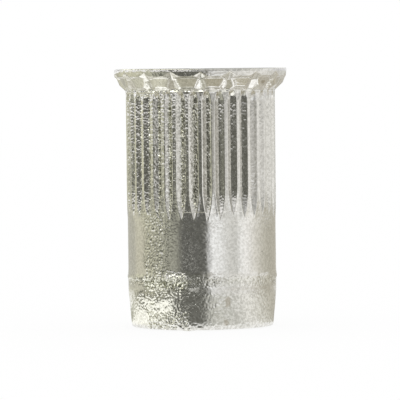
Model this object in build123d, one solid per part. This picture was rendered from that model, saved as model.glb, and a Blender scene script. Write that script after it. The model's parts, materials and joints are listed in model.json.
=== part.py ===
from build123d import *
import math
import os

# Open-end knurled rivet nut, M6, cold-formed from one steel slug.
# The axis is Z. The open foot stands on z = 0 and the head is on top. Millimetres.

# Bore, from the screw outwards
thread_diameter = 6.0         # the screw's nominal size
thread_pitch = 1.0
thread_length = 6.3           # threaded stretch, up from the foot
thread_lead_in = 0.6          # 45 degree chamfer where the screw starts
screw_clearance = 0.5         # radial room round the screw in the sleeve
sleeve_mouth_chamfer = 0.25   # broken edge of the sleeve at the head's face

# Outside of the body
sleeve_wall = 1.0             # the wall that folds when the nut is set
shank_length = 6.95           # smooth stretch, up from the foot to the knurl
nose_length = 2.25            # tapered end of the shank
nose_draw = 0.21              # how much the radius drops along the nose
nose_edge_radius = 0.12
bead_offset = 0.5             # crest of the low bead above the nose
bead_width = 0.6
bead_height = 0.03

# Knurl: V grooves along the sleeve that fade out on the shank
knurl_length = 7.35           # from the shank to the root of the head
knurl_swell = 0.025           # radial growth of the metal that the knurl pushes up
groove_count = 36
groove_width = 0.63
groove_depth = 0.25
groove_run_out = 1.7          # length over which a groove fades at its lower end
groove_overrun = 0.2          # how far its tip passes the end of the knurl
groove_top_gap = 0.05         # plain metal between a groove and the root of the head
groove_top_fade = 0.55        # gentle rise of a groove's root towards its upper end
groove_top_lip = 0.15         # depth left where that end turns up at 45 degrees

# Head, from its root upwards
neck_height = 0.56            # 45 degree cone under the head
neck_angle = 45.0
neck_root_radius = 0.15
pad_band_height = 0.35
pad_band_draw = 0.12
flare_height = 0.29
flare_draw = 0.045
rim_height = 0.2
rim_chamfer = 0.06

# Teeth under the head: pads coined flat, with a V notch between each two
tooth_count = 18
pad_depth = 0.05              # how far a pad's flat lies under the round band
notch_width = 0.92            # across a notch at the widest
notch_root_depth = 0.07       # how far a notch's root lies inside the knurl's surface
notch_root_lift = 0.08        # height of that root above the root of the head
notch_tail = 0.17             # how far a notch runs down below the root of the head

cutter_reach = 0.6            # how far every cutter stands outside the metal

thread_radius = (thread_diameter - thread_pitch) / 2
sleeve_radius = thread_diameter / 2 + screw_clearance
body_radius = sleeve_radius + sleeve_wall
knurl_radius = body_radius + knurl_swell
neck_slope = math.tan(math.radians(neck_angle))
neck_radius = knurl_radius + neck_height * neck_slope
flare_radius = neck_radius + pad_band_draw
head_radius = flare_radius + flare_draw

head_root = shank_length + knurl_length
neck_top = head_root + neck_height
pad_band_top = neck_top + pad_band_height
rim_bottom = pad_band_top + flare_height
total_length = rim_bottom + rim_height


def blank():
    # The turned form: half of the section, revolved about the axis.
    bead_crest = nose_length + bead_offset
    sleeve_floor = thread_length + sleeve_radius - thread_radius
    corners = [
        (body_radius - nose_draw, 0, nose_edge_radius),
        (body_radius, nose_length, 0),
        (body_radius, bead_crest - bead_width / 2, 0),
        (body_radius + bead_height, bead_crest, 0),
        (body_radius, bead_crest + bead_width / 2, 0),
        (body_radius, shank_length, 0),
        (knurl_radius, shank_length + knurl_swell, 0),
        (knurl_radius, head_root, neck_root_radius),
        (neck_radius, neck_top, 0),
        (flare_radius, pad_band_top, 0),
        (head_radius, rim_bottom, 0),
        (head_radius, total_length - rim_chamfer, 0),
        (head_radius - rim_chamfer, total_length, 0),
        (sleeve_radius + sleeve_mouth_chamfer, total_length, 0),
        (sleeve_radius, total_length - sleeve_mouth_chamfer, 0),
        (sleeve_radius, sleeve_floor, 0),
        (thread_radius, thread_length, 0),
        (thread_radius, thread_lead_in, 0),
        (thread_radius + thread_lead_in, 0, 0),
    ]
    points = [(radius, height) for radius, height, rounding in corners]
    roundings = [rounding for radius, height, rounding in corners]
    outline = FilletPolyline(*points, radius=roundings, close=True)
    section = Plane.XZ * make_face(outline)
    return revolve(section, Axis.Z)


def flank_slope(radius, width, depth):
    # Rise of a V's flank over its width, measured to the round surface that it cuts.
    half = width / 2
    return (math.sqrt(radius**2 - half**2) - (radius - depth)) / half


def groove_cutter():
    # A wedge whose ridge is the groove's root: it rises out of the surface at both ends.
    slope = flank_slope(knurl_radius, groove_width, groove_depth)
    root = knurl_radius - groove_depth
    lip = knurl_radius - groove_top_lip
    reach = knurl_radius + cutter_reach
    tip = shank_length - groove_overrun
    lower_bend = tip + groove_run_out
    lip_height = head_root - groove_top_gap - groove_top_lip
    upper_bend = lip_height - groove_top_fade
    ridge = [(root, lower_bend), (root, upper_bend), (lip, lip_height)]
    corners = [(radius, 0, height) for radius, height in ridge]
    for radius, height in ridge:
        half = (reach - radius) / slope
        corners += [(reach, -half, height), (reach, half, height)]
    corners.append((reach, 0, lower_bend - groove_run_out * (reach - root) / groove_depth))
    corners.append((reach, 0, lip_height + reach - lip))
    return ConvexPolyhedron(corners)


def notch_cutter():
    # A four-sided punch whose point makes the root of the notch.
    root = knurl_radius - notch_root_depth
    root_height = head_root + notch_root_lift
    reach = head_radius + cutter_reach
    rise = reach - root
    climb = (head_radius - root) / (rim_bottom - root_height)
    fall = notch_root_depth / (notch_root_lift + notch_tail)
    depth = neck_radius - root - climb * (neck_top - root_height)
    slope = flank_slope(neck_radius, notch_width, depth)
    half = rise / slope
    return ConvexPolyhedron(
        [
            (root, 0, root_height),
            (reach, 0, root_height - rise / fall),
            (reach, -half, root_height),
            (reach, half, root_height),
            (reach, 0, root_height + rise / climb),
        ]
    )


def pad_cutter():
    # A block whose face is the flat of one pad, leaning out with the head.
    lean = math.degrees(math.atan2(pad_band_draw + pad_depth, pad_band_height))
    width = 2 * math.pi * head_radius / tooth_count
    height = 2 * pad_band_height
    block = Box(
        cutter_reach, width, height, align=(Align.MIN, Align.CENTER, Align.CENTER)
    )
    return Pos(neck_radius - pad_depth, 0, neck_top) * Rot(Y=lean) * block


def ring_of(cutter, count, first):
    pitch = 360 / count
    return [Rot(Z=first + pitch * index) * cutter for index in range(count)]


def rivet_nut():
    groove_pitch = 360 / groove_count
    tooth_pitch = 360 / tooth_count
    part = blank()
    part -= ring_of(pad_cutter(), tooth_count, tooth_pitch / 2 - 90)
    part -= ring_of(notch_cutter(), tooth_count, -90)
    part -= ring_of(groove_cutter(), groove_count, groove_pitch / 2 - 90)
    return part


os.makedirs("parts", exist_ok=True)
nut = rivet_nut()
nut.label = "rivet_nut"
export_step(nut, "parts/rivet_nut.step")
print("length", round(total_length, 3), "head", round(2 * head_radius, 3), "volume", nut.volume)
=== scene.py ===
import json
import math
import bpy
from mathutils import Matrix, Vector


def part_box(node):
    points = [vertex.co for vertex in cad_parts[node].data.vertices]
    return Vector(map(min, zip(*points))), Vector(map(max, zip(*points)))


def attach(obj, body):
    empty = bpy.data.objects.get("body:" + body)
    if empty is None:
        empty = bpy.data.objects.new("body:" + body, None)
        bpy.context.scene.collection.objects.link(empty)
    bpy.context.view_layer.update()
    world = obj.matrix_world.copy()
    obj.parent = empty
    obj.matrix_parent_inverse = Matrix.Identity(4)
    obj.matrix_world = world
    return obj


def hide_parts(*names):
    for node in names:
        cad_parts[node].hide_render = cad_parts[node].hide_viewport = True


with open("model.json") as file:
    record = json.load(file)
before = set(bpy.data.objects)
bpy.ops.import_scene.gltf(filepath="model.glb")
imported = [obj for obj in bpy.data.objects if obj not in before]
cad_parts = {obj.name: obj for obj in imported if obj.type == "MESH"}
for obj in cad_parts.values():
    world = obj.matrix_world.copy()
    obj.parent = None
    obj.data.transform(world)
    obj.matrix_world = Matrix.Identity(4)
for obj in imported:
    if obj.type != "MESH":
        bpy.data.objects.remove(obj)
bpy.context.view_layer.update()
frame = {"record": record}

from types import SimpleNamespace
import bmesh
import bpy
from mathutils import Matrix, Vector

mm = 0.001
fullTurn = 2 * math.pi
scene = bpy.context.scene
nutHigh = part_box("rivet_nut")[1]
mounts = {mount["name"]: mount for mount in frame["record"]["mounts"]}


def roundWall(name):  # radius, lowest and highest height of a round mount
    mount = mounts[name]
    half = mount["dims"]["length_mm"] * mm / 2
    return mount["dims"]["r_mm"] * mm, mount["pos_m"][2] - half, mount["pos_m"][2] + half


shankRadius = roundWall("shank")[0]
threadRadius, threadLow, threadHigh = roundWall("thread")
sleeveRadius, sleeveLow, sleeveHigh = roundWall("sleeve_bore")


# Formulas on sockets, so that one line of code stands for one step of a node tree
class Field:
    def __init__(self, tree, socket):
        self.tree = tree
        self.socket = socket

    def math(self, operation, *others):
        node = self.tree.nodes.new("ShaderNodeMath")
        node.operation = operation
        for place, value in enumerate((self,) + others):
            plug(self.tree, value, node.inputs[place])
        return Field(self.tree, node.outputs[0])

    def __add__(self, other):
        return self.math("ADD", other)

    def __radd__(self, other):
        return self.math("ADD", other)

    def __sub__(self, other):
        return self.math("SUBTRACT", other)

    def __rsub__(self, other):
        return self.math("MULTIPLY_ADD", -1.0, other)

    def __mul__(self, other):
        return self.math("MULTIPLY", other)

    def __rmul__(self, other):
        return self.math("MULTIPLY", other)

    def __truediv__(self, other):
        return self.math("DIVIDE", other)

    def __pow__(self, other):
        return self.math("POWER", other)

    def __abs__(self):
        return self.math("ABSOLUTE")

    def sin(self):
        return self.math("SINE")

    def cos(self):
        return self.math("COSINE")

    def root(self):
        return self.math("SQRT")

    def atLeast(self, other):
        return self.math("MAXIMUM", other)

    def atMost(self, other):
        return self.math("MINIMUM", other)

    def softMost(self, other, width):
        return self.math("SMOOTH_MIN", other, width)

    def whole(self):
        return self.math("FLOOR")

    def nearest(self):
        return self.math("ROUND")

    def clipped(self):
        return self.atLeast(0.0).atMost(1.0)

    def blend(self, other, share):
        return self + (other - self) * share

    def ramp(self, start, end, low=0.0, high=1.0, shape="SMOOTHSTEP"):
        node = self.tree.nodes.new("ShaderNodeMapRange")
        node.interpolation_type = shape
        for place, value in enumerate((self, start, end, low, high)):
            plug(self.tree, value, node.inputs[place])
        return Field(self.tree, node.outputs[0])


def plug(tree, value, socket):
    if isinstance(value, Field):
        tree.links.new(value.socket, socket)
    else:
        socket.default_value = value


def addNode(tree, kind, settings=None, **sockets):  # sockets are given by name, _ for a space
    node = tree.nodes.new(kind)
    for name, value in (settings or {}).items():
        setattr(node, name, value)
    for name, value in sockets.items():
        plug(tree, value, node.inputs[name.replace("_", " ")])
    return node


def output(node, name=0):
    return Field(node.id_data, node.outputs[name])


def splitVector(tree, vector):
    node = addNode(tree, "ShaderNodeSeparateXYZ", Vector=vector)
    return output(node, "X"), output(node, "Y"), output(node, "Z")


def cloud(tree, place, size, detail=2.0, offset=0.0):  # noise from about -0.5 to 0.5
    moved = addNode(tree, "ShaderNodeVectorMath", {"operation": "ADD"})
    plug(tree, place, moved.inputs[0])
    plug(tree, (offset, offset, offset), moved.inputs[1])
    noise = addNode(tree, "ShaderNodeTexNoise", Vector=output(moved), Scale=0.6 / size, Detail=detail)
    return output(noise) - 0.5


rivetNut = {
    "sizes": {  # inputs of the nut's tree
        "Knurl Radius": 4.515 * mm,
        "Knurl Foot": 7.12 * mm,
        "Groove Count": 36,
        "Groove Depth": 0.25 * mm,
        "Groove Flank": 0.93,  # rise of a flank over its width
        "Groove Root Round": 0.03 * mm,
        "Groove Edge Round": 0.012 * mm,
        "Groove Ridge": 0.014 * mm,  # metal pushed up along a groove's edges
        "Ridge Place": 0.03 * mm,  # how far up the groove's wall, drawn on outwards, its crest is
        "Ridge Width": 0.05 * mm,
        "Groove Tip": 6.66 * mm,
        "Groove Run Out": 1.7 * mm,
        "Groove Run Out Bend": 1.5,  # 1 for a straight run-out, more for a round one
        "Groove Top": 14.52 * mm,
        "Groove Top Rise": 0.9 * mm,  # the root bends outwards over this length
        "Groove Offset": math.radians(0.6),  # the knurl's turn against the teeth
        "Scatter": 1.0,  # how much of the scatters below is used
        "Groove Tip Scatter": 0.16 * mm,
        "Groove Top Scatter": 0.05 * mm,
        "Groove Depth Scatter": 0.08,  # share of the depth
        "Groove Place Scatter": 0.02 * mm,
        "Notch Root Scatter": 0.02 * mm,
        "Tooth Count": 18,
        "Notch Root": 4.43 * mm,
        "Notch Height": 14.46 * mm,
        "Notch Climb": 0.64,  # how fast the valley's radius grows above that height
        "Notch Fall": 0.45,  # and below it
        "Notch Flank": 0.45,  # rise of a flank over its width
        "Notch Edge Round": 0.03 * mm,
        "Notch Bend": 15.02 * mm,  # the valley climbs at 45 degrees from here
        "Neck Start": 14.43 * mm,  # foot of the neck at the front
        "Neck Slope": 1.15,
        "Neck Edge Round": 0.05 * mm,
        "Pad Radius": 4.80 * mm,
        "Pad Height": 14.86 * mm,
        "Pad Lean": 0.42,  # how fast a pad's radius grows upwards
        "Pad Top": 15.22 * mm,
        "Pad Step": 0.08 * mm,  # height of the slope round a pad
        "Pad Arch": 0.16 * mm,  # how much lower the arch is at a pad's sides
        "Pad Hollow": 0.35,  # 0 for a round pad, 1 for a flat one
        "Pad Lift": 0.2 * mm,  # how much shallower the pads are away from the front
        "Pad Shift": 0.03 * mm,  # added at the right, taken off at the left
        "Head Root": 14.3 * mm,
        "Thread Pitch": 1.0 * mm,
        "Thread Bottom": threadLow,
        "Thread Top": threadHigh,
        "Thread Radius": threadRadius,
        "Thread Fade": 0.45 * mm,
        "Ring Height": 2.95 * mm,
        "Dents": 1.0,
        "Rough Side": math.radians(-38),  # middle of the side that was tumbled hardest
        "Seed": 7,
    },
    "mesh": {
        "columns": 504,  # a multiple of both counts
        "innerColumns": 126,
        "grooveSteps": 4,  # columns from a groove's root to its edge
        "ridgeSteps": 2,  # and from there across the ridge
        "notchSteps": 8,
        "padSteps": 6,
        "grooveGather": 1.7,  # 1 for even columns, more to gather them at the edge
        "notchGather": 1.5,
        "leastTip": 0.12,  # share of a groove's width that its columns keep where it has run out
        "leastTop": 0.35,
        "leastNotch": 0.18 * mm,
        "ridge": 0.07 * mm,  # widest room for a ridge's columns
        "landHalf": 0.085 * mm,  # they stay this far from the middle of a land
        "threadRows": 8,
        "merge": 0.0002 * mm,
        "sharp": math.radians(38),
    },
    "outline": {
        "footEdge": 0.12 * mm,
        "footDraft": 0.01 * mm,
        "noseDraw": 0.21 * mm,  # how much smaller the foot's radius is
        "noseTop": 2.25 * mm,
        "noseBend": 0.35 * mm,
        "noseBendDraw": 0.035 * mm,
        "ringTop": 3.4 * mm,
        "tipsFrom": 6.4 * mm,  # the rows lie closer where the grooves' tips are
        "stepHalf": 0.012 * mm,  # the step at the knurl's foot, and the band round it
        "stepBand": 0.03 * mm,
        "runOutTop": 8.5 * mm,
        "riseFrom": 13.4 * mm,
        "riseTop": 13.9 * mm,
        "neckRoot": 14.2 * mm,
        "neckCorner": 14.33 * mm,
        "neckFrom": 14.48 * mm,
        "neckOut": 0.15 * mm,
        "neckTop": (5.065 * mm, 14.85 * mm),  # radius and height, here and in the next three
        "padCorner": (5.085 * mm, 14.86 * mm),
        "padFoot": (5.095 * mm, 14.885 * mm),
        "padTop": (5.205 * mm, 15.21 * mm),
        "flareTop": 15.50 * mm,
        "flareStep": 0.01 * mm,
        "flareDraw": 0.002 * mm,
        "rimChamfer": 0.06 * mm,
        "threadDepth": 0.52 * mm,
        "threadFlat": 0.1,  # half of the flat at the thread's root, in pitches
        "threadFlank": 0.28,  # width of a flank, in pitches
    },
    "heights": {  # mm over which each kind of wear, of painted shade and of painted highlight comes in, or goes out if the first is the higher
        "onKnurl": (6.8, 7.5),
        "onHead": (14.2, 14.45),
        "lowPart": (3.7, 3.4),
        "onNose": (2.5, 2.1),
        "patchFoot": (1.05, 1.25),
        "patchTop": (2.5, 2.3),
        "grooveTop": (14.05, 13.4),
        "ringLumpFoot": (3.0, 3.1),
        "ringLumpTop": (3.5, 3.4),
        "underRingFoot": (2.4, 2.55),
        "underRingTop": (3.1, 2.95),
        "onRim": (15.2, 15.3),
        "rimFace": (15.3, 15.5),
        "rimSink": (15.26, 15.66),
        "offFoot": (0.0, 0.35),
        "footLift": (0.35, 0.0),
        "flush": (8.0, 7.11),
        "flushFoot": (7.10, 7.13),
    },
    "roughSide": {  # degrees from its middle: where it starts, and where it is in full
        "left": (-14, -11),
        "right": (20, 2),
        "rightBelow": (8, 20),  # added below the ring
        "onKnurl": 34,  # added on the knurl
        "frayWidth": 1.6 * mm,
        "fraying": 0.3,
    },
    "tumbled": {  # from 0, smooth, to 1
        "side": 0.29,
        "sideKnurl": -0.16,
        "sideFlank": 0.62,
        "sideNose": 0.2,
        "smoothNose": 0.93,
        "smoothHead": 0.85,
        "ring": 0.3,
        "ringSide": 0.1,
        "underRing": 0.3,
        "flank": 0.04,
        "nose": 0.12,
        "rim": 0.02,
        "rimSide": 0.05,
    },
    "dents": {  # mm: width of a dent, depth, and depth added on the rough side
        "nose": (0.45, 0.035, 0.06),
        "ring": (0.18, 0.015, 0.022),
        "beads": (0.2, 0.045, 0.055),
        "groove": (0.14, 0.002, 0.010),
        "all": (1.1, 0.012, 0.0),
        "rim": (0.5, 0.01, 0.0),
        "edges": (1.2, 0.10, 0.0),
    },
    "marks": {
        "beadHeight": 3.12 * mm,  # crest of the beads on the ring
        "beadWander": 0.16 * mm,
        "beadBelow": 0.2 * mm,
        "beadAbove": 0.38 * mm,
        "beadBend": 1.2 * mm,  # width of one bend of their line
        "ringHalf": 0.34 * mm,
        "ringWander": 0.3 * mm,
        "ringBend": 0.8 * mm,
        "lump": 0.2 * mm,
        "patch": 0.5 * mm,  # the nose's tumbled patches
        "patchShare": 0.16,  # more for more of them
        "patchShareAbove": -0.3,  # added on the upper part of the nose
        "fullGroove": 0.12 * mm,  # from this depth on a groove wears in full
        "flankFrom": -0.08 * mm,  # sideways from a groove's root
        "flankFull": 0.02 * mm,
        "chipAt": 0.77 * fullTurn,  # where the rim is worn down
        "chipHalf": math.radians(17),
        "chip": 0.17 * mm,
        "burrAt": fullTurn - math.radians(12),  # where the foot reaches the floor
        "burrHalf": math.radians(7),
        "burr": 0.06 * mm,
        "footLift": 0.07 * mm,
        "flushRise": 0.002 * mm,
    },
}
sectionValues = ("radius", "height", "skin", "columns", "helix")


class Section:  # the half section as rows of points, from the lead-in round the outside to the thread
    def __init__(self, radius, height):
        self.rows = []
        self.put(radius, height, 0, rivetNut["mesh"]["innerColumns"], 0)

    def put(self, *values):
        self.rows.append(values)

    def line(self, radius, height, steps, skin=1, columns=rivetNut["mesh"]["columns"]):
        fromRadius, fromHeight = self.rows[-1][:2]
        for step in range(1, steps + 1):
            share = step / steps
            self.put(
                fromRadius + (radius - fromRadius) * share,
                fromHeight + (height - fromHeight) * share,
                skin, columns, 0,
            )

    def corner(self, cornerRadius, cornerHeight, radius, height, steps):  # bends towards the corner
        fromRadius, fromHeight = self.rows[-1][:2]
        for step in range(1, steps + 1):
            b = step / steps
            a = 1 - b
            self.put(
                a * a * fromRadius + 2 * a * b * cornerRadius + b * b * radius,
                a * a * fromHeight + 2 * a * b * cornerHeight + b * b * height,
                1, rivetNut["mesh"]["columns"], 0,
            )


def nutSection():
    sizes, outline = rivetNut["sizes"], rivetNut["outline"]
    body = shankRadius
    knurl, knurlFoot = sizes["Knurl Radius"], sizes["Knurl Foot"]
    head, top = nutHigh.x, nutHigh.z
    foot = body - outline["noseDraw"]
    nose, bend = outline["noseTop"], outline["noseBend"]
    half, band = outline["stepHalf"], outline["stepBand"]
    flare, chamfer = outline["flareTop"], outline["rimChamfer"]
    section = Section(threadRadius + threadLow, 0)
    section.line(foot - outline["footEdge"], 0, 1)
    section.corner(foot, 0, foot + outline["footDraft"], outline["footEdge"], 4)
    section.line(body - outline["noseBendDraw"], nose - bend, 22)
    section.corner(body, nose, body, nose + bend, 9)
    section.line(body, outline["ringTop"], 13)
    section.line(body, outline["tipsFrom"], 12)
    section.line(body, knurlFoot - band, 7)
    section.line(body, knurlFoot - half, 1)
    section.line(knurl, knurlFoot + half, 1)
    section.line(knurl, knurlFoot + band, 1)
    section.line(knurl, outline["runOutTop"], 18)
    section.line(knurl, outline["riseFrom"], 13)
    section.line(knurl, outline["riseTop"], 8)
    section.line(knurl, outline["neckRoot"], 8)
    section.corner(knurl, outline["neckCorner"], knurl + outline["neckOut"], outline["neckFrom"], 7)
    section.line(*outline["neckTop"], 14)
    section.corner(*outline["padCorner"], *outline["padFoot"], 2)
    section.line(*outline["padTop"], 10)
    section.line(head - outline["flareDraw"], flare, 10)
    section.line(head, flare + outline["flareStep"], 1)
    section.line(head, flare + 2 * outline["flareStep"], 1)
    section.line(head, top - chamfer, 3)
    section.corner(head, top, head - chamfer, top, 3)

    inner = rivetNut["mesh"]["innerColumns"]
    section.line(sleeveRadius + top - sleeveHigh, top, 1, 0, inner)
    section.line(sleeveRadius, sleeveHigh, 3, 0, inner)
    section.line(sleeveRadius, sleeveLow, 6, 0, inner)
    section.line(threadRadius, threadHigh, 3, 0, inner)
    rowsPerTurn = rivetNut["mesh"]["threadRows"]
    pitch = sizes["Thread Pitch"]
    turns = math.ceil((threadHigh - threadLow) / pitch) + 1
    for row in range(rowsPerTurn * turns + 1):
        fromRoot = abs(row % rowsPerTurn / rowsPerTurn - 0.5)
        rise = min(max((fromRoot - outline["threadFlat"]) / outline["threadFlank"], 0), 1)
        radius = threadRadius + outline["threadDepth"] * (1 - rise)
        section.put(radius, threadHigh - row * pitch / rowsPerTurn, 0, inner, 1)
    section.put(threadRadius, threadLow, 0, inner, 0)
    return section.rows


def sectionObject(rows):
    mesh = bpy.data.meshes.new("nutSection")
    mesh.from_pydata([(row[0], 0, row[1]) for row in rows], [(i, i + 1) for i in range(len(rows) - 1)], [])
    for place, name in enumerate(sectionValues):
        layer = mesh.attributes.new(name, "FLOAT", "POINT")
        layer.data.foreach_set("value", [float(row[place]) for row in rows])
    made = bpy.data.objects.new("rivetNutSteel", mesh)
    scene.collection.objects.link(made)
    return made


# The nut's tree in parts. What they share is in "at": the tree, its inputs, and fields of the point in hand
def layGrid(at):  # one column each step round the nut, one row each point of the section
    tree, size = at.tree, at.size
    at.grid = addNode(tree, "GeometryNodeMeshGrid", Size_X=size["Columns"], Size_Y=size["Rows"],
                      Vertices_X=size["Columns"] + 1, Vertices_Y=size["Rows"] + 1)
    x, y, z = splitVector(tree, output(addNode(tree, "GeometryNodeInputPosition")))
    column = (x + size["Columns"] / 2).nearest()
    row = (y + size["Rows"] / 2).nearest().math("MODULO", size["Rows"])
    for name in sectionValues:
        named = addNode(tree, "GeometryNodeInputNamedAttribute", {"data_type": "FLOAT"}, Name=name)
        sample = addNode(tree, "GeometryNodeSampleIndex", {"data_type": "FLOAT", "domain": "POINT"},
                         Geometry=size["Section"], Value=output(named), Index=row)
        setattr(at, name, output(sample))
    gap = size["Columns"] / at.columns  # the bores have fewer columns
    at.turn = (column / gap).nearest() * gap / size["Columns"]


def scatter(at, index, salt, amount):  # one random value for each index
    node = addNode(at.tree, "FunctionNodeRandomValue", {"data_type": "FLOAT"}, ID=index,
                   Seed=at.size["Seed"] + salt)
    plug(at.tree, -1.0, node.inputs[2])
    plug(at.tree, 1.0, node.inputs[3])
    return output(node, 1) * at.size["Scatter"] * at.size[amount]


def placeGrooves(at):  # the columns gather along each groove's edges, so that edges and tips stay crisp
    size, height = at.size, at.height
    knurl, count = size["Knurl Radius"], size["Groove Count"]
    place = at.turn * count
    index = place.whole().math("MODULO", count)
    across = (place - place.whole()) * 2.0 - 1.0
    step = abs(across) * size["Columns"] / count / 2
    mesh = rivetNut["mesh"]
    grooveSteps, ridgeSteps = mesh["grooveSteps"], mesh["ridgeSteps"]
    inGroove = (step / grooveSteps).clipped()
    onRidge = ((step - grooveSteps) / ridgeSteps).clipped()
    atMiddle = (step - (grooveSteps + ridgeSteps)).clipped()

    tip = size["Groove Tip"] + scatter(at, index, 1, "Groove Tip Scatter")
    depth = size["Groove Depth"] * (1 + scatter(at, index, 3, "Groove Depth Scatter"))
    toFull = (1 - (height - tip) / size["Groove Run Out"]).atLeast(0.0)
    at.lowFade = 1 - toFull ** size["Groove Run Out Bend"]
    end = size["Groove Top"] + scatter(at, index, 2, "Groove Top Scatter")
    rising = 1 - ((end - height) / size["Groove Top Rise"]).atMost(1.0)
    topCut = depth * (1 - rising ** 2)
    at.grooveCut = topCut.atMost(depth * at.lowFade)
    at.cutShare = (at.grooveCut / depth).clipped()

    # where a groove has run out, its columns keep a little width
    meshCut = size["Groove Depth"] * abs(at.lowFade).atLeast(mesh["leastTip"]).atMost(1.0)
    meshCut = meshCut * (topCut / depth).atLeast(mesh["leastTop"])
    half = (meshCut + size["Groove Ridge"]) / size["Groove Flank"]
    half = half + half * half / (2 * knurl * size["Groove Flank"])
    halfPitch = knurl * math.pi / count
    ridge = (halfPitch - mesh["landHalf"] - half).atMost(mesh["ridge"])
    arc = half * (1 - (1 - inGroove) ** mesh["grooveGather"]) + onRidge * ridge
    arc = arc.blend(halfPitch, atMiddle)
    drift = scatter(at, index, 4, "Groove Place Scatter") / knurl - size["Groove Offset"]
    at.grooveCentre = (place.whole() + 0.5) / count * fullTurn + drift
    at.grooveAngle = at.grooveCentre - drift * atMiddle + arc * across.math("SIGN") / knurl


def placeNotches(at):  # under the head, in the same way
    size, height, radius = at.size, at.height, at.radius
    count = size["Tooth Count"]
    place = at.turn * count + 0.5
    index = place.whole().math("MODULO", count)
    across = (place - place.whole()) * 2.0 - 1.0
    step = abs(across) * size["Columns"] / count / 2
    mesh = rivetNut["mesh"]
    inNotch = (step / mesh["notchSteps"]).clipped()
    onPad = ((step - mesh["notchSteps"]) / mesh["padSteps"]).clipped()
    above = height - size["Notch Height"]
    at.valley = (size["Notch Root"] + scatter(at, index, 5, "Notch Root Scatter")
                 + size["Notch Climb"] * above.atLeast(0.0) - size["Notch Fall"] * above.atMost(0.0)
                 + (1 - size["Notch Climb"]) * (height - size["Notch Bend"]).atLeast(0.0))
    half = ((radius - at.valley) / size["Notch Flank"]).atLeast(mesh["leastNotch"])
    gather = mesh["notchGather"]
    arc = half * (1 - (1 - inNotch) ** gather) + (radius * math.pi / count - half) * onPad ** gather
    at.notchCentre = place.whole() / count * fullTurn
    at.notchAngle = at.notchCentre + arc * across.math("SIGN") / radius


def placeColumns(at):  # from the grooves' places to the notches' across the root of the head
    root = at.size["Head Root"]
    at.headShare = at.height.ramp(root - 0.02 * mm, root + 0.16 * mm)
    warped = at.grooveAngle.blend(at.notchAngle, at.headShare)
    at.angle = (at.turn * fullTurn).blend(warped, at.skin)
    at.grooveTurn = at.angle - at.grooveCentre


def shapeRelief(at):  # ridges, grooves, pads with a step round them, notches
    size, height, radius, angle = at.size, at.height, at.radius, at.angle
    knurl, flank, root = size["Knurl Radius"], size["Groove Flank"], size["Head Root"]
    neckDrop = (0.1 - 0.1 * angle.cos()).atMost(0.12) * mm  # the neck starts lower away from the front
    neckFace = knurl + size["Neck Slope"] * (height - size["Neck Start"] + neckDrop).atLeast(0.0)

    bare = knurl.atLeast(radius.atMost(neckFace))
    rootRound = size["Groove Root Round"] / knurl
    slope = flank * ((at.grooveTurn.sin() ** 2 + rootRound * rootRound).root() - rootRound * 0.6)
    grooveWall = (bare - at.grooveCut) / (at.grooveTurn.cos() - slope).atLeast(0.3)
    ridge = size["Groove Ridge"] * (at.lowFade * 4).clipped() * (at.cutShare * 4 + 0.4).clipped()
    fromCrest = abs(grooveWall - bare - size["Ridge Place"]) / size["Ridge Width"]
    ridge = ridge * (1 - fromCrest).clipped() ** 1.3

    teeth = size["Tooth Count"]
    padCentre = ((at.turn * teeth).whole() + 0.5) / teeth * fullTurn
    fromPad = angle - padCentre
    padOut = size["Pad Shift"] * padCentre.sin() + size["Pad Lift"] * (1 - padCentre.cos()).atMost(1.0)
    padFlat = size["Pad Radius"] + padOut + size["Pad Lean"] * (height - size["Pad Height"])
    padFlat = padFlat * (1 + size["Pad Hollow"] - size["Pad Hollow"] * fromPad.cos())
    archTop = size["Pad Top"] - size["Pad Arch"] * abs(fromPad * teeth / math.pi) ** 4
    underArch = (archTop - height).ramp(0.0, size["Pad Step"], shape="LINEAR")
    padCut = (radius - padFlat).atLeast(0.0) * underArch * at.headShare

    notchWall = at.valley + size["Notch Flank"] * abs(angle - at.notchCentre) * radius
    relief = radius + ridge * height.ramp(root + 0.1 * mm, root) - padCut
    offKnurl = height.ramp(root - 0.2 * mm, root + 0.05 * mm, 0.5, 0.0) * mm
    relief = relief.softMost(neckFace + offKnurl, size["Neck Edge Round"])
    relief = relief.softMost(notchWall, size["Notch Edge Round"])
    at.relief = relief.softMost(grooveWall, size["Groove Edge Round"])


def shapeThread(at):  # its rows climb with the turn, and it fades at both ends
    size, low, high = at.size, at.size["Thread Bottom"], at.size["Thread Top"]
    climbed = (at.height + size["Thread Pitch"] * at.turn).atLeast(low).atMost(high)
    at.finalHeight = at.height.blend(climbed, at.helix)
    toEnd = (at.finalHeight - low).atMost(high - at.finalHeight)
    threaded = size["Thread Radius"].blend(at.radius, toEnd.ramp(0.0, size["Thread Fade"]))
    at.finalRadius = at.radius.blend(at.relief, at.skin).blend(threaded, at.helix)


def spot(at):  # the first notch faces -Y
    facing = at.angle - math.pi / 2
    node = addNode(at.tree, "ShaderNodeCombineXYZ", X=at.finalRadius * facing.cos(),
                   Y=at.finalRadius * facing.sin(), Z=at.finalHeight)
    return output(node)


def onBand(at, name):  # 0 to 1 over a band of heights
    start, end = rivetNut["heights"][name]
    return at.height.ramp(start * mm, end * mm)


def wear(at, name, detail=1.0, offset=0.0):  # noise times its depth
    width, depth, sideDepth = rivetNut["dents"][name]
    noise = cloud(at.tree, at.plain, width * mm, detail, offset)
    if sideDepth:
        return noise * (depth + at.side * sideDepth) * mm
    return noise * depth * mm


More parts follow.
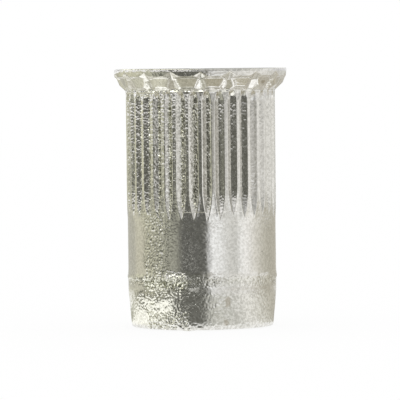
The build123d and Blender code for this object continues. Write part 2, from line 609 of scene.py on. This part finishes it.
def findWear(at):  # where the nut was handled roughly: one side, the grooves' flanks, the ring and the nose; and where the colour gets painted shade, in the grooves and under the ring, and painted highlights, on the ring's lumps
    tree, size = at.tree, at.size
    roughSide, marks, share = rivetNut["roughSide"], rivetNut["marks"], rivetNut["tumbled"]
    at.plain = spot(at)
    onKnurl = onBand(at, "onKnurl")
    fromSide = (at.angle - size["Rough Side"]).math("WRAP", math.pi, -math.pi)
    fromSide = fromSide + cloud(tree, at.plain, roughSide["frayWidth"]) * roughSide["fraying"]
    spread = onKnurl * math.radians(roughSide["onKnurl"])
    leftOut, leftFull, rightOut, rightFull, belowOut, belowFull = (
        math.radians(value) for name in ("left", "right", "rightBelow") for value in roughSide[name])
    lowPart = onBand(at, "lowPart")
    at.side = fromSide.ramp(leftOut - spread, leftFull - spread)
    at.side = at.side * fromSide.ramp(rightOut + lowPart * belowOut + spread, rightFull + lowPart * belowFull)

    onHead = onBand(at, "onHead")
    at.nose = onBand(at, "onNose")
    at.inGroove = ((at.radius - at.relief) / marks["fullGroove"]).clipped() * onKnurl * (1 - onHead)
    rightFlank = (at.grooveTurn * size["Knurl Radius"]).ramp(marks["flankFrom"], marks["flankFull"])
    flank = at.inGroove * onBand(at, "grooveTop") * rightFlank
    wander = cloud(tree, at.plain, marks["ringBend"]) * marks["ringWander"]
    at.ring = 1 - (abs(at.height - size["Ring Height"] + wander) / marks["ringHalf"]).clipped()
    patch = onBand(at, "patchFoot") * onBand(at, "patchTop")
    patchy = cloud(tree, at.plain, marks["patch"], 2.0, 0.011) + marks["patchShare"]
    patchy = (patchy + patch * marks["patchShareAbove"]).ramp(-0.05, 0.05)
    at.lumps = cloud(tree, at.plain, marks["lump"], 1.0, 0.019)
    # painted light on the ring, following the lumps: above 0 the colour is painted brighter, a painted
    # highlight; below 0 it is painted darker, a painted shade
    paintedRingLightAndShade = onBand(at, "ringLumpFoot") * onBand(at, "ringLumpTop")
    paintedRingLightAndShade = paintedRingLightAndShade * (at.lumps * 5 + 0.1 + at.side * 0.4).atMost(1.0).atLeast(-1.0)
    # painted shade under the ring on the rough side, in the colour; the band also adds to the tumbled
    # roughness
    underRing = onBand(at, "underRingTop") * onBand(at, "underRingFoot") * at.side

    onSide = share["side"] + onKnurl * share["sideKnurl"] + flank * share["sideFlank"]
    onSide = (onSide + at.nose * share["sideNose"]) * at.side
    onSide = onSide * (1 - at.nose * (1 - patchy) * share["smoothNose"]) * (1 - onHead * share["smoothHead"])
    tumbled = onSide + at.ring.root() * (share["ring"] + at.side * share["ringSide"])
    tumbled = tumbled + underRing * share["underRing"] + flank * share["flank"] + at.nose * share["nose"]
    tumbled = tumbled + onBand(at, "onRim") * (share["rim"] + at.side * share["rimSide"])
    at.tumbled = tumbled.clipped() * at.skin
    at.grooveDepth = (at.inGroove + underRing - paintedRingLightAndShade) * at.skin  # painted shade in the grooves and under the ring, below 0 for painted highlights on the ring's lumps


def dentSurface(at):
    size, marks = at.size, rivetNut["marks"]
    dent = wear(at, "nose", 1.5) * at.nose * onBand(at, "offFoot")
    beadWander = cloud(at.tree, at.plain, marks["beadBend"], 1.0) * marks["beadWander"]
    above = at.height - marks["beadHeight"] - beadWander
    bead = (1 - above / marks["beadAbove"]).clipped() * (1 + above / marks["beadBelow"]).clipped()
    depth, sideDepth = rivetNut["dents"]["beads"][1:]
    dent = dent + bead * (0.7 + at.lumps * 2.4).clipped() * (depth + at.side * sideDepth) * mm
    dent = dent + wear(at, "ring") * at.ring + wear(at, "all", 1.0, 0.023)
    dent = dent + wear(at, "groove", 1.0, 0.037) * at.inGroove
    dent = dent.blend(wear(at, "rim") - 0.005 * mm, onBand(at, "rimFace"))

    # the right part of the knurl starts flush with the shank
    flush = at.angle.cos().ramp(0.5, -0.3) * onBand(at, "flush") * onBand(at, "flushFoot")
    flush = flush * (size["Knurl Radius"] - (shankRadius + marks["flushRise"]))

    # the rim and the foot are a little uneven
    wave = wear(at, "edges", 1.0, 0.051) - 0.012 * mm
    chip = (1 - abs(at.angle - marks["chipAt"]) / marks["chipHalf"]).clipped() * marks["chip"]
    sink = (wave.atLeast(0.0) + chip) * onBand(at, "rimSink")
    burr = 1 - (abs(at.angle - marks["burrAt"]) / marks["burrHalf"]).clipped()
    lift = (marks["footLift"] + wave * 0.6 - burr * marks["burr"]).atLeast(0.0) * onBand(at, "footLift")
    at.finalRadius = at.finalRadius + (dent * size["Dents"] - flush) * at.skin
    at.finalHeight = at.finalHeight + (lift - sink) * at.skin * size["Dents"]


def nutTree():
    tree = bpy.data.node_groups.new("knurledNut", "GeometryNodeTree")
    face = tree.interface
    face.new_socket(name="Section", in_out="INPUT", socket_type="NodeSocketGeometry")
    face.new_socket(name="Nut", in_out="OUTPUT", socket_type="NodeSocketGeometry")
    counts = {"Columns": rivetNut["mesh"]["columns"], "Rows": 1}
    for name, value in {**rivetNut["sizes"], **counts}.items():
        kind = "NodeSocketInt" if isinstance(value, int) else "NodeSocketFloat"
        face.new_socket(name=name, in_out="INPUT", socket_type=kind).default_value = value
    face.new_socket(name="Steel", in_out="INPUT", socket_type="NodeSocketMaterial")
    start = tree.nodes.new("NodeGroupInput")
    size = {socket.name: Field(tree, socket) for socket in start.outputs if socket.name}
    at = SimpleNamespace(tree=tree, size=size)
    layGrid(at)
    placeGrooves(at)
    placeNotches(at)
    placeColumns(at)
    shapeRelief(at)
    shapeThread(at)
    findWear(at)
    dentSurface(at)

    made = at.grid
    for name, value in (("tumbled", at.tumbled), ("grooveDepth", at.grooveDepth)):
        made = addNode(tree, "GeometryNodeStoreNamedAttribute", {"data_type": "FLOAT", "domain": "POINT"},
                       Geometry=output(made), Name=name, Value=value)
    made = addNode(tree, "GeometryNodeSetPosition", Geometry=output(made), Position=spot(at))
    made = addNode(tree, "GeometryNodeMergeByDistance", Geometry=output(made),
                   Distance=rivetNut["mesh"]["merge"])
    made = addNode(tree, "GeometryNodeSetShadeSmooth", Geometry=output(made))
    made = addNode(tree, "GeometryNodeRealizeInstances", Geometry=output(made))
    made = addNode(tree, "GeometryNodeSetMaterial", Geometry=output(made), Material=size["Steel"])
    end = tree.nodes.new("NodeGroupOutput")
    tree.links.new(made.outputs[0], end.inputs[0])
    return tree


def growPiece(thing, tree, values, settings):  # runs a tree on an object and leaves a plain mesh
    modifier = thing.modifiers.new(tree.name, "NODES")
    modifier.node_group = tree
    for socket in tree.interface.items_tree:
        if socket.in_out == "INPUT" and socket.name in values:
            modifier[socket.identifier] = values[socket.name]
    grown = bpy.data.meshes.new_from_object(thing.evaluated_get(bpy.context.evaluated_depsgraph_get()))
    thing.modifiers.clear()
    thing.data = grown
    tidy = bmesh.new()
    tidy.from_mesh(grown)
    bmesh.ops.remove_doubles(tidy, verts=tidy.verts, dist=settings["merge"])
    bmesh.ops.dissolve_degenerate(tidy, edges=tidy.edges, dist=settings["merge"] / 2)
    bmesh.ops.recalc_face_normals(tidy, faces=tidy.faces)
    tidy.to_mesh(grown)
    tidy.free()
    grown.set_sharp_from_angle(angle=settings["sharp"])


steelLook = {
    "grainSize": 0.08 * mm,
    "bump": 0.135 * mm,
    "fine": 0.025,  # height of the fine grain and of the lumps, before the tumbled share
    "lumps": 0.02,
    "lumpShare": 0.35,
    "roughness": (0.08, 0.18),
    "pitSize": 0.09 * mm,
    "smoothPit": (0.72, 0.71, 0.675, 1),
    "tumbledPit": (0.42, 0.415, 0.335, 1),
    # painted shade: the darker colour in the grooves and under the ring, on the rough side
    "groovePit": (0.26, 0.26, 0.19, 1),
    "smoothTop": (0.86, 0.85, 0.815, 1),
    "tumbledTop": (1.0, 1.0, 0.92, 1),
    "brown": (0.45, 0.39, 0.30, 1),
    "brownShare": 0.55,
    "speck": (0.10, 0.09, 0.07, 1),
    "stains": {  # degrees from the front, height, half width and half height
        "Brown": [
            (20, 1.75 * mm, 0.2 * mm, 0.4 * mm),
            (19, 0.5 * mm, 0.22 * mm, 0.22 * mm),
            (50, 14.86 * mm, 0.2 * mm, 0.1 * mm),
        ],
        "Speck": [
            (53.3, 4.66 * mm, 0.05 * mm, 0.07 * mm),
            (52.7, 12.33 * mm, 0.06 * mm, 0.09 * mm),
        ],
    },
}


def mixColors(tree, first, second, share):
    node = addNode(tree, "ShaderNodeMix", {"data_type": "RGBA"})
    plug(tree, share, node.inputs["Factor"])
    plug(tree, first, node.inputs["A"])
    plug(tree, second, node.inputs["B"])
    return output(node, "Result")


def newGroup(name, inputs, outputs):
    group = bpy.data.node_groups.new(name, "ShaderNodeTree")
    for title, (kind, value) in inputs.items():
        socket = group.interface.new_socket(name=title, in_out="INPUT", socket_type="NodeSocket" + kind)
        if value is not None:
            socket.default_value = value
    for title in outputs:
        group.interface.new_socket(name=title, in_out="OUTPUT", socket_type="NodeSocketFloat")
    start = group.nodes.new("NodeGroupInput")
    end = group.nodes.new("NodeGroupOutput")
    return group, {title: Field(group, start.outputs[title]) for title in inputs}, end


def grainGroup():  # fine hammered grain, stronger where the metal was tumbled
    group, given, end = newGroup(
        "tumbledGrain",
        {"Place": ("Vector", None), "Grain Size": ("Float", 0.1 * mm), "Tumbled": ("Float", 0.0)},
        ["Height", "Fleck"],
    )

    def noise(scale):  # scale is for a grain of size 1
        node = addNode(group, "ShaderNodeTexNoise", Vector=given["Place"], Detail=0.0)
        plug(group, scale * given["Grain Size"] ** -1.0, node.inputs["Scale"])
        return output(node)

    fine, lumps = noise(0.6), noise(0.22)
    tumbled = given["Tumbled"]
    height = (fine - 0.5) * (steelLook["fine"] + tumbled)
    height = height + (lumps - 0.5) * (steelLook["lumps"] + tumbled * steelLook["lumpShare"])
    plug(group, height, end.inputs["Height"])
    plug(group, fine, end.inputs["Fleck"])
    return group


def stainGroup():  # brown marks and dark specks, each at its own turn and height
    group, given, end = newGroup("stains", {"Place": ("Vector", None)}, steelLook["stains"])
    x, y, z = splitVector(group, given["Place"])
    turn = x.math("ARCTAN2", y * -1.0)
    frayed = cloud(group, given["Place"], 0.1 * mm, 1.0, 0.043) * 1.6
    for name, spots in steelLook["stains"].items():
        total = 0.0
        for degrees, height, wide, tall in spots:
            across = (turn - math.radians(degrees)) * (shankRadius / wide)
            up = (z - height) / tall
            total = ((across * across + up * up).root() + frayed).ramp(1.1, 0.6) + total
        plug(group, total.clipped(), end.inputs[name])
    return group


def zincSteel():
    look = steelLook
    made = bpy.data.materials.new("zincSteel")
    made.use_nodes = True
    tree = made.node_tree
    shader = tree.nodes["Principled BSDF"]
    shader.inputs["Metallic"].default_value = 1.0
    place = output(addNode(tree, "ShaderNodeTexCoord"), "Object")
    tumbled = output(addNode(tree, "ShaderNodeAttribute", {"attribute_name": "tumbled"}), "Fac")
    inGroove = output(addNode(tree, "ShaderNodeAttribute", {"attribute_name": "grooveDepth"}), "Fac")
    grain = addNode(tree, "ShaderNodeGroup", {"node_tree": grainGroup()}, Place=place, Tumbled=tumbled)
    grain.inputs["Grain Size"].default_value = look["grainSize"]
    bump = addNode(tree, "ShaderNodeBump", Strength=1.0, Distance=look["bump"],
                   Height=output(grain, "Height"))
    tree.links.new(bump.outputs[0], shader.inputs["Normal"])
    plug(tree, output(grain, "Fleck").ramp(0.3, 0.7, *look["roughness"]), shader.inputs["Roughness"])

    pits = cloud(tree, place, look["pitSize"], 1.0, 0.011).ramp(-0.12, 0.12)
    # painted highlight where the painted attribute is below 0, on the ring's lumps; painted shade where it is
    # above 0, in the grooves and under the ring
    bright = (inGroove * -1.0).clipped()
    pit = mixColors(tree, look["smoothPit"], look["tumbledPit"], tumbled)
    pit = mixColors(tree, pit, look["groovePit"], inGroove.clipped() * tumbled)
    top = mixColors(tree, look["smoothTop"], look["tumbledTop"], tumbled)
    color = mixColors(tree, pit, top, (pits + bright).clipped())
    stains = addNode(tree, "ShaderNodeGroup", {"node_tree": stainGroup()}, Place=place)
    color = mixColors(tree, color, look["brown"], output(stains, "Brown") * look["brownShare"])
    color = mixColors(tree, color, look["speck"], output(stains, "Speck"))
    plug(tree, color, shader.inputs["Base Color"])
    return made


rows = nutSection()
nut = sectionObject(rows)
print("section:", len(rows), "points")
counts = {"Columns": rivetNut["mesh"]["columns"], "Rows": len(rows), "Steel": zincSteel()}
print("steel: grain, pits and stains")
growPiece(nut, nutTree(), {**rivetNut["sizes"], **counts}, rivetNut["mesh"])
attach(nut, "root")
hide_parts("rivet_nut")
triangles = sum(len(face.vertices) - 2 for face in nut.data.polygons)
print("nut:", len(nut.data.vertices), "points,", triangles, "triangles")


notchCards = [  # shared by two rings of the shelf
    (-180, (0.8, 0.79, 0.72)), (-122, (0.7, 0.69, 0.6)), (-112, (0.58, 0.57, 0.48)),
    (-104, (0.75, 0.74, 0.66)), (-95, (1.05, 1.05, 1.0)), (-88, (0.62, 0.60, 0.52)),
    (-81, (0.62, 0.60, 0.52)), (-75, (1.3, 1.3, 1.28)), (-66, (1.1, 1.1, 1.05)),
    (-56, (0.60, 0.59, 0.49)), (-24, (0.50, 0.48, 0.39)), (24, (0.46, 0.43, 0.34)),
    (36, (0.50, 0.47, 0.39)), (48, (0.75, 0.73, 0.68)), (54, (1.3, 1.3, 1.3)), (72, (1.3, 1.3, 1.3)),
    (76, (0.6, 0.58, 0.5)),
]
studio = {
    "floorSize": 1.2,
    "floorColor": (0.9, 0.9, 0.9, 1),
    "floorWhite": 0.9,  # how much of the floor the camera sees as plain white
    "worldStrength": 1.1,
    "tentRadius": 45 * mm,
    "tentHeight": 70 * mm,
    "tentSteps": 96,
    "baseHeight": 0.02 * mm,
    "baseHole": 4.9 * mm,
    "shelfHeight": 2.4 * mm,
    "shelfHole": 4.8 * mm,
    "shelfRadius": 33 * mm,
    "shelfSeenFrom": 0.5,  # the shelf shows only from above, and steeper than this
    "lidHole": 0.1 * mm,
    "bands": {  # which cards the metal sees: mm up the wall, or mm outwards from the axis
        "wall": {0: "shank", 5.5: "knurl", 14.5: "rim", 22: "dark", 30: "high", 38: "lid"},
        "base": {0: "white", 5.4: "near", 14: "base", 27: "outerBase", 38: "rimBase"},
        "shelf": {0: "root", 6.4: "neck", 14.4: "notch", 16.6: "tip", 18.2: "pad", 27: "outerShelf"},
        "lid": {0: "lid"},
    },
    "cards": {  # soft light and dark cards, each by degrees from the nut's front and colour
        "white": [(-180, (1.0, 1.0, 1.0)), (180, (1.0, 1.0, 1.0))],
        "shank": [
            (-180, (0.95, 0.95, 0.95)), (-168, (0.95, 0.95, 0.95)), (-160, (0.54, 0.53, 0.47)),
            (-126, (0.54, 0.53, 0.46)), (-116, (0.66, 0.64, 0.53)), (-99, (0.64, 0.62, 0.51)),
            (-94, (0.37, 0.36, 0.29)), (-78, (0.37, 0.36, 0.29)), (-70, (0.42, 0.42, 0.36)),
            (-50, (0.48, 0.48, 0.41)), (-38, (0.35, 0.35, 0.30)), (-29, (0.14, 0.14, 0.13)),
            (5, (0.13, 0.13, 0.12)), (15, (1.05, 1.06, 1.08)), (28, (0.97, 0.98, 0.99)),
            (40, (0.74, 0.74, 0.72)), (52, (0.66, 0.66, 0.64)), (60, (1.0, 1.0, 1.0)),
            (72, (1.0, 0.99, 0.98)), (86, (0.80, 0.78, 0.73)), (106, (0.59, 0.57, 0.50)),
            (124, (0.52, 0.50, 0.43)), (158, (0.53, 0.50, 0.43)), (168, (0.95, 0.95, 0.95)),
            (180, (0.95, 0.95, 0.95)),
        ],
        "knurl": [
            (-180, (0.95, 0.95, 0.95)), (-166, (0.95, 0.95, 0.95)), (-156, (0.70, 0.69, 0.62)),
            (-143, (0.48, 0.47, 0.38)), (-120, (0.74, 0.73, 0.57)), (-100, (0.67, 0.66, 0.52)),
            (-66, (0.60, 0.60, 0.48)), (-57, (0.24, 0.24, 0.20)), (-40, (0.15, 0.15, 0.13)),
            (-3, (0.14, 0.14, 0.12)), (3, (0.26, 0.26, 0.23)), (8, (0.46, 0.45, 0.42)),
            (15, (0.60, 0.59, 0.57)), (24, (0.64, 0.63, 0.61)), (39, (0.78, 0.77, 0.75)),
            (60, (0.86, 0.85, 0.82)), (79, (0.91, 0.90, 0.88)), (100, (0.80, 0.79, 0.76)),
            (120, (0.71, 0.70, 0.67)), (150, (0.72, 0.72, 0.68)), (164, (0.80, 0.80, 0.78)),
            (172, (0.95, 0.95, 0.95)), (180, (0.95, 0.95, 0.95)),
        ],
        "rim": [
            (-180, (0.95, 0.95, 0.95)), (-150, (1.1, 1.1, 1.12)), (-100, (1.06, 1.06, 1.09)),
            (-60, (1.02, 1.01, 1.02)), (-20, (0.86, 0.85, 0.85)), (0, (0.46, 0.46, 0.46)),
            (50, (0.50, 0.50, 0.48)), (70, (0.74, 0.73, 0.70)), (100, (0.92, 0.92, 0.92)),
            (120, (0.72, 0.72, 0.75)), (180, (0.95, 0.95, 0.95)),
        ],
        "dark": [
            (-180, (0.9, 0.9, 0.9)), (-166, (0.8, 0.8, 0.8)), (-150, (0.14, 0.14, 0.11)),
            (-8, (0.14, 0.14, 0.11)), (14, (0.9, 0.9, 0.86)), (150, (0.9, 0.9, 0.86)),
            (180, (0.9, 0.9, 0.9)),
        ],
        "high": [
            (-180, (0.9, 0.9, 0.9)), (-150, (0.9, 0.9, 0.85)), (-125, (3.3, 3.3, 2.85)),
            (-20, (3.3, 3.3, 2.85)), (5, (1.1, 1.1, 1.0)), (180, (0.9, 0.9, 0.9)),
        ],
        "lid": [
            (-180, (0.4, 0.4, 0.4)), (-150, (0.18, 0.18, 0.15)), (-20, (0.18, 0.18, 0.15)),
            (20, (0.5, 0.5, 0.5)), (180, (0.4, 0.4, 0.4)),
        ],
        "near": [
            (-180, (0.95, 0.95, 0.95)), (-150, (0.50, 0.50, 0.41)), (-124, (0.50, 0.50, 0.41)),
            (-112, (1.2, 1.2, 1.12)), (-38, (1.2, 1.2, 1.12)), (-28, (0.17, 0.17, 0.155)),
            (-2, (0.17, 0.17, 0.155)), (14, (0.66, 0.66, 0.62)), (40, (0.66, 0.66, 0.63)),
            (60, (0.92, 0.91, 0.88)), (80, (0.78, 0.77, 0.72)), (120, (0.56, 0.54, 0.47)),
            (156, (0.50, 0.47, 0.42)), (180, (0.95, 0.95, 0.95)),
        ],
        "base": [
            (-180, (0.95, 0.95, 0.95)), (-160, (0.9, 0.9, 0.86)), (-136, (1.1, 1.1, 1.05)),
            (-120, (0.54, 0.53, 0.43)), (-104, (0.16, 0.16, 0.13)), (-31, (0.14, 0.14, 0.12)),
            (5, (0.13, 0.13, 0.12)), (16, (0.80, 0.80, 0.80)), (72, (0.90, 0.89, 0.87)),
            (106, (0.59, 0.57, 0.50)), (158, (0.53, 0.50, 0.43)), (180, (0.95, 0.95, 0.95)),
        ],
        "rimBase": [
            (-180, (0.95, 0.95, 0.95)), (-150, (0.60, 0.59, 0.49)), (-76, (0.50, 0.50, 0.42)),
            (-48, (0.40, 0.40, 0.34)), (-30, (0.14, 0.14, 0.12)), (5, (0.13, 0.13, 0.12)),
            (16, (0.80, 0.80, 0.80)), (90, (0.60, 0.58, 0.51)), (120, (0.50, 0.47, 0.40)),
            (180, (0.95, 0.95, 0.95)),
        ],
        "root": [
            (-180, (1.3, 1.3, 1.28)), (-60, (1.3, 1.3, 1.28)), (-48, (0.3, 0.3, 0.25)),
            (-20, (0.3, 0.3, 0.25)), (10, (0.6, 0.59, 0.55)), (50, (0.70, 0.68, 0.64)),
            (180, (0.75, 0.73, 0.69)),
        ],
        "neck": [
            (-180, (0.72, 0.70, 0.64)), (-122, (0.72, 0.70, 0.64)), (-112, (0.60, 0.59, 0.50)),
            (-98, (0.92, 0.91, 0.84)), (-85, (1.25, 1.25, 1.2)), (-49, (1.25, 1.25, 1.2)),
            (-44, (0.50, 0.49, 0.41)), (-31, (0.52, 0.51, 0.43)), (-26, (0.72, 0.71, 0.64)),
            (-20, (0.72, 0.71, 0.64)), (-14, (0.58, 0.56, 0.49)), (3, (0.46, 0.44, 0.36)),
            (8, (0.46, 0.44, 0.36)), (13, (0.72, 0.70, 0.66)), (18, (1.3, 1.3, 1.3)),
            (24, (1.3, 1.3, 1.3)), (28, (0.62, 0.60, 0.55)), (35, (0.62, 0.60, 0.55)),
            (39, (1.3, 1.3, 1.3)), (49, (1.3, 1.3, 1.3)), (54, (0.76, 0.74, 0.69)),
            (68, (0.54, 0.52, 0.46)), (84, (0.54, 0.52, 0.46)), (92, (0.72, 0.70, 0.64)),
            (110, (0.56, 0.54, 0.46)), (126, (0.72, 0.70, 0.64)), (180, (0.72, 0.70, 0.66)),
        ],
        "notch": notchCards + [
            (80, (1.35, 1.35, 1.35)), (92, (1.35, 1.35, 1.35)), (97, (0.55, 0.52, 0.45)),
            (122, (0.6, 0.57, 0.5)), (180, (0.7, 0.67, 0.62)),
        ],
        "tip": notchCards + [(92, (0.50, 0.47, 0.39)), (122, (0.6, 0.57, 0.5)), (180, (0.7, 0.67, 0.62))],
        "pad": [
            (-180, (1.3, 1.3, 1.28)), (-134, (1.3, 1.3, 1.28)), (-128, (0.44, 0.43, 0.36)),
            (-112, (0.44, 0.43, 0.36)), (-96, (0.72, 0.70, 0.58)), (-50, (0.70, 0.69, 0.57)),
            (-34, (0.46, 0.45, 0.35)), (0, (0.44, 0.42, 0.33)), (28, (0.46, 0.43, 0.34)),
            (44, (0.55, 0.52, 0.42)), (96, (0.55, 0.51, 0.42)), (106, (0.58, 0.55, 0.48)),
            (138, (0.70, 0.67, 0.62)), (180, (0.70, 0.67, 0.62)),
        ],
        "outerShelf": [
            (-180, (0.95, 0.95, 0.95)), (-150, (0.50, 0.49, 0.40)), (-80, (0.50, 0.49, 0.40)),
            (0, (0.5, 0.47, 0.40)), (80, (0.48, 0.44, 0.36)), (125, (0.48, 0.44, 0.36)),
            (150, (0.70, 0.68, 0.62)), (180, (0.95, 0.95, 0.95)),
        ],
        "outerBase": [
            (-180, (0.95, 0.95, 0.95)), (-150, (0.66, 0.65, 0.54)), (-76, (0.66, 0.65, 0.54)),
            (-50, (0.4, 0.4, 0.34)), (-34, (0.4, 0.4, 0.34)), (-29, (1.4, 1.4, 1.35)),
            (-12, (1.4, 1.4, 1.35)), (-2, (0.3, 0.3, 0.27)), (20, (0.75, 0.74, 0.72)),
            (90, (0.55, 0.52, 0.45)), (120, (0.50, 0.47, 0.40)), (180, (0.95, 0.95, 0.95)),
        ],
    },
}


def stagePiece(name, points, faces, paint):
    mesh = bpy.data.meshes.new(name)
    mesh.from_pydata(points, [], faces)
    mesh.materials.append(paint)
    made = bpy.data.objects.new(name, mesh)
    scene.collection.objects.link(made)
    return made


def barePaint(name):  # a material without its first shader
    paint = bpy.data.materials.new(name)
    paint.use_nodes = True
    paint.node_tree.nodes.remove(paint.node_tree.nodes["Principled BSDF"])
    return paint, paint.node_tree, paint.node_tree.nodes["Material Output"].inputs["Surface"]


def mixShaders(tree, first, second, share):
    mix = addNode(tree, "ShaderNodeMixShader", Fac=share)
    tree.links.new(first.outputs[0], mix.inputs[1])
    tree.links.new(second.outputs[0], mix.inputs[2])
    return mix


def makeFloor():  # mostly plain white where the camera or the metal sees it
    paint, tree, surface = barePaint("whiteFloor")
    diffuse = addNode(tree, "ShaderNodeBsdfDiffuse", Color=studio["floorColor"])
    white = addNode(tree, "ShaderNodeEmission", Color=(1, 1, 1, 1), Strength=1.0)
    path = addNode(tree, "ShaderNodeLightPath")
    seen = output(path, "Is Camera Ray").atLeast(output(path, "Is Glossy Ray"))
    seen = seen.atLeast(output(path, "Is Transmission Ray"))
    tree.links.new(mixShaders(tree, diffuse, white, seen * studio["floorWhite"]).outputs[0], surface)
    half = studio["floorSize"] / 2
    corners = [(-half, -half, 0), (half, -half, 0), (half, half, 0), (-half, half, 0)]
    stagePiece("floor", corners, [(0, 1, 2, 3)], paint)


def cardColors(tree, turn, name):  # a colour for each direction
    colors = studio["cards"][name]
    ramp = addNode(tree, "ShaderNodeValToRGB", Fac=turn)
    stops = ramp.color_ramp.elements
    stops[1].position = 0.5
    for extra in colors[2:]:
        stops.new(1.0)
    for stop, (degrees, color) in zip(stops, colors):
        stop.position = (degrees + 180) / 360
        stop.color = color + (1.0,)
    return output(ramp)


def cardPaint(name):
    paint, tree, surface = barePaint(name + "Cards")
    upright = name == "wall"
    x, y, z = splitVector(tree, output(addNode(tree, "ShaderNodeTexCoord"), "Object"))
    south = y * -1.0
    turn = x.math("ARCTAN2", south) / fullTurn + 0.5
    away = z if upright else (x * x + south * south).root()
    soft = (0.2 if upright else 0.6) * mm
    (first, firstCards), *others = studio["bands"][name].items()
    color = cardColors(tree, turn, firstCards)
    for start, nextCards in others:
        share = away.ramp(start * mm - soft, start * mm + soft)
        color = mixColors(tree, color, cardColors(tree, turn, nextCards), share)
    glow = addNode(tree, "ShaderNodeEmission", Color=color, Strength=1.0)
    if name == "shelf":
        looks = output(tree.nodes.new("ShaderNodeNewGeometry"), "Incoming")
        steep = splitVector(tree, looks)[2].math("GREATER_THAN", studio["shelfSeenFrom"])
        glow = mixShaders(tree, tree.nodes.new("ShaderNodeBsdfTransparent"), glow, steep)
    tree.links.new(glow.outputs[0], surface)
    return paint


def makeTent():  # seen only in the metal
    steps = studio["tentSteps"]
    radius, height = studio["tentRadius"], studio["tentHeight"]
    turns = [fullTurn * step / steps for step in range(steps)]
    band = [(i, (i + 1) % steps, steps + (i + 1) % steps, steps + i) for i in range(steps)]

    def circle(distance, up):
        return [(distance * math.sin(turn), -distance * math.cos(turn), up) for turn in turns]

    def card(title, name, first, second):  # the band between two circles, each given by radius and height
        made = stagePiece(title, circle(*first) + circle(*second), band, cardPaint(name))
        made.visible_camera = made.visible_diffuse = made.visible_shadow = False

    card("tentWall", "wall", (radius, 0), (radius, height))
    card("tentBase", "base", (radius, studio["baseHeight"]), (studio["baseHole"], studio["baseHeight"]))
    card("tentLid", "lid", (radius, height), (studio["lidHole"], height))
    card("ringShelf", "shelf", (studio["shelfRadius"], studio["shelfHeight"]),
         (studio["shelfHole"], studio["shelfHeight"]))


def makeWorld():
    world = bpy.data.worlds.new("softRoom")
    world.use_nodes = True
    tree = world.node_tree
    seen = output(addNode(tree, "ShaderNodeLightPath"), "Is Camera Ray")
    back = tree.nodes["Background"]
    back.inputs["Color"].default_value = (1, 1, 1, 1)
    plug(tree, seen.ramp(0.0, 1.0, studio["worldStrength"], 1.0, "LINEAR"), back.inputs["Strength"])
    scene.world = world


view = {
    "distance": 225 * mm,
    "lift": math.radians(2.0),
    "centre": (-0.09 * mm, 0, 7.70 * mm),
    "roll": math.radians(-0.62),
    "width": 24.33 * mm,  # of what it sees at the nut
    "sensor": 36,
    "nearest": 10 * mm,
    "farthest": 5,
}


def makeCamera():
    lens = bpy.data.cameras.new("camera")
    camera = bpy.data.objects.new("camera", lens)
    scene.collection.objects.link(camera)
    back = Vector((0, -math.cos(view["lift"]), math.sin(view["lift"])))
    aim = (-back).to_track_quat("-Z", "Y").to_matrix().to_4x4()
    place = Matrix.Translation(Vector(view["centre"]) + back * view["distance"])
    camera.matrix_world = place @ aim @ Matrix.Rotation(view["roll"], 4, "Z")
    lens.sensor_width = view["sensor"]
    lens.lens = view["sensor"] * view["distance"] / view["width"]
    lens.clip_start = view["nearest"]
    lens.clip_end = view["farthest"]
    scene.camera = camera


makeFloor()
makeTent()
makeWorld()
makeCamera()
scene.view_settings.view_transform = "Standard"
print("studio: floor, tent, world and camera")
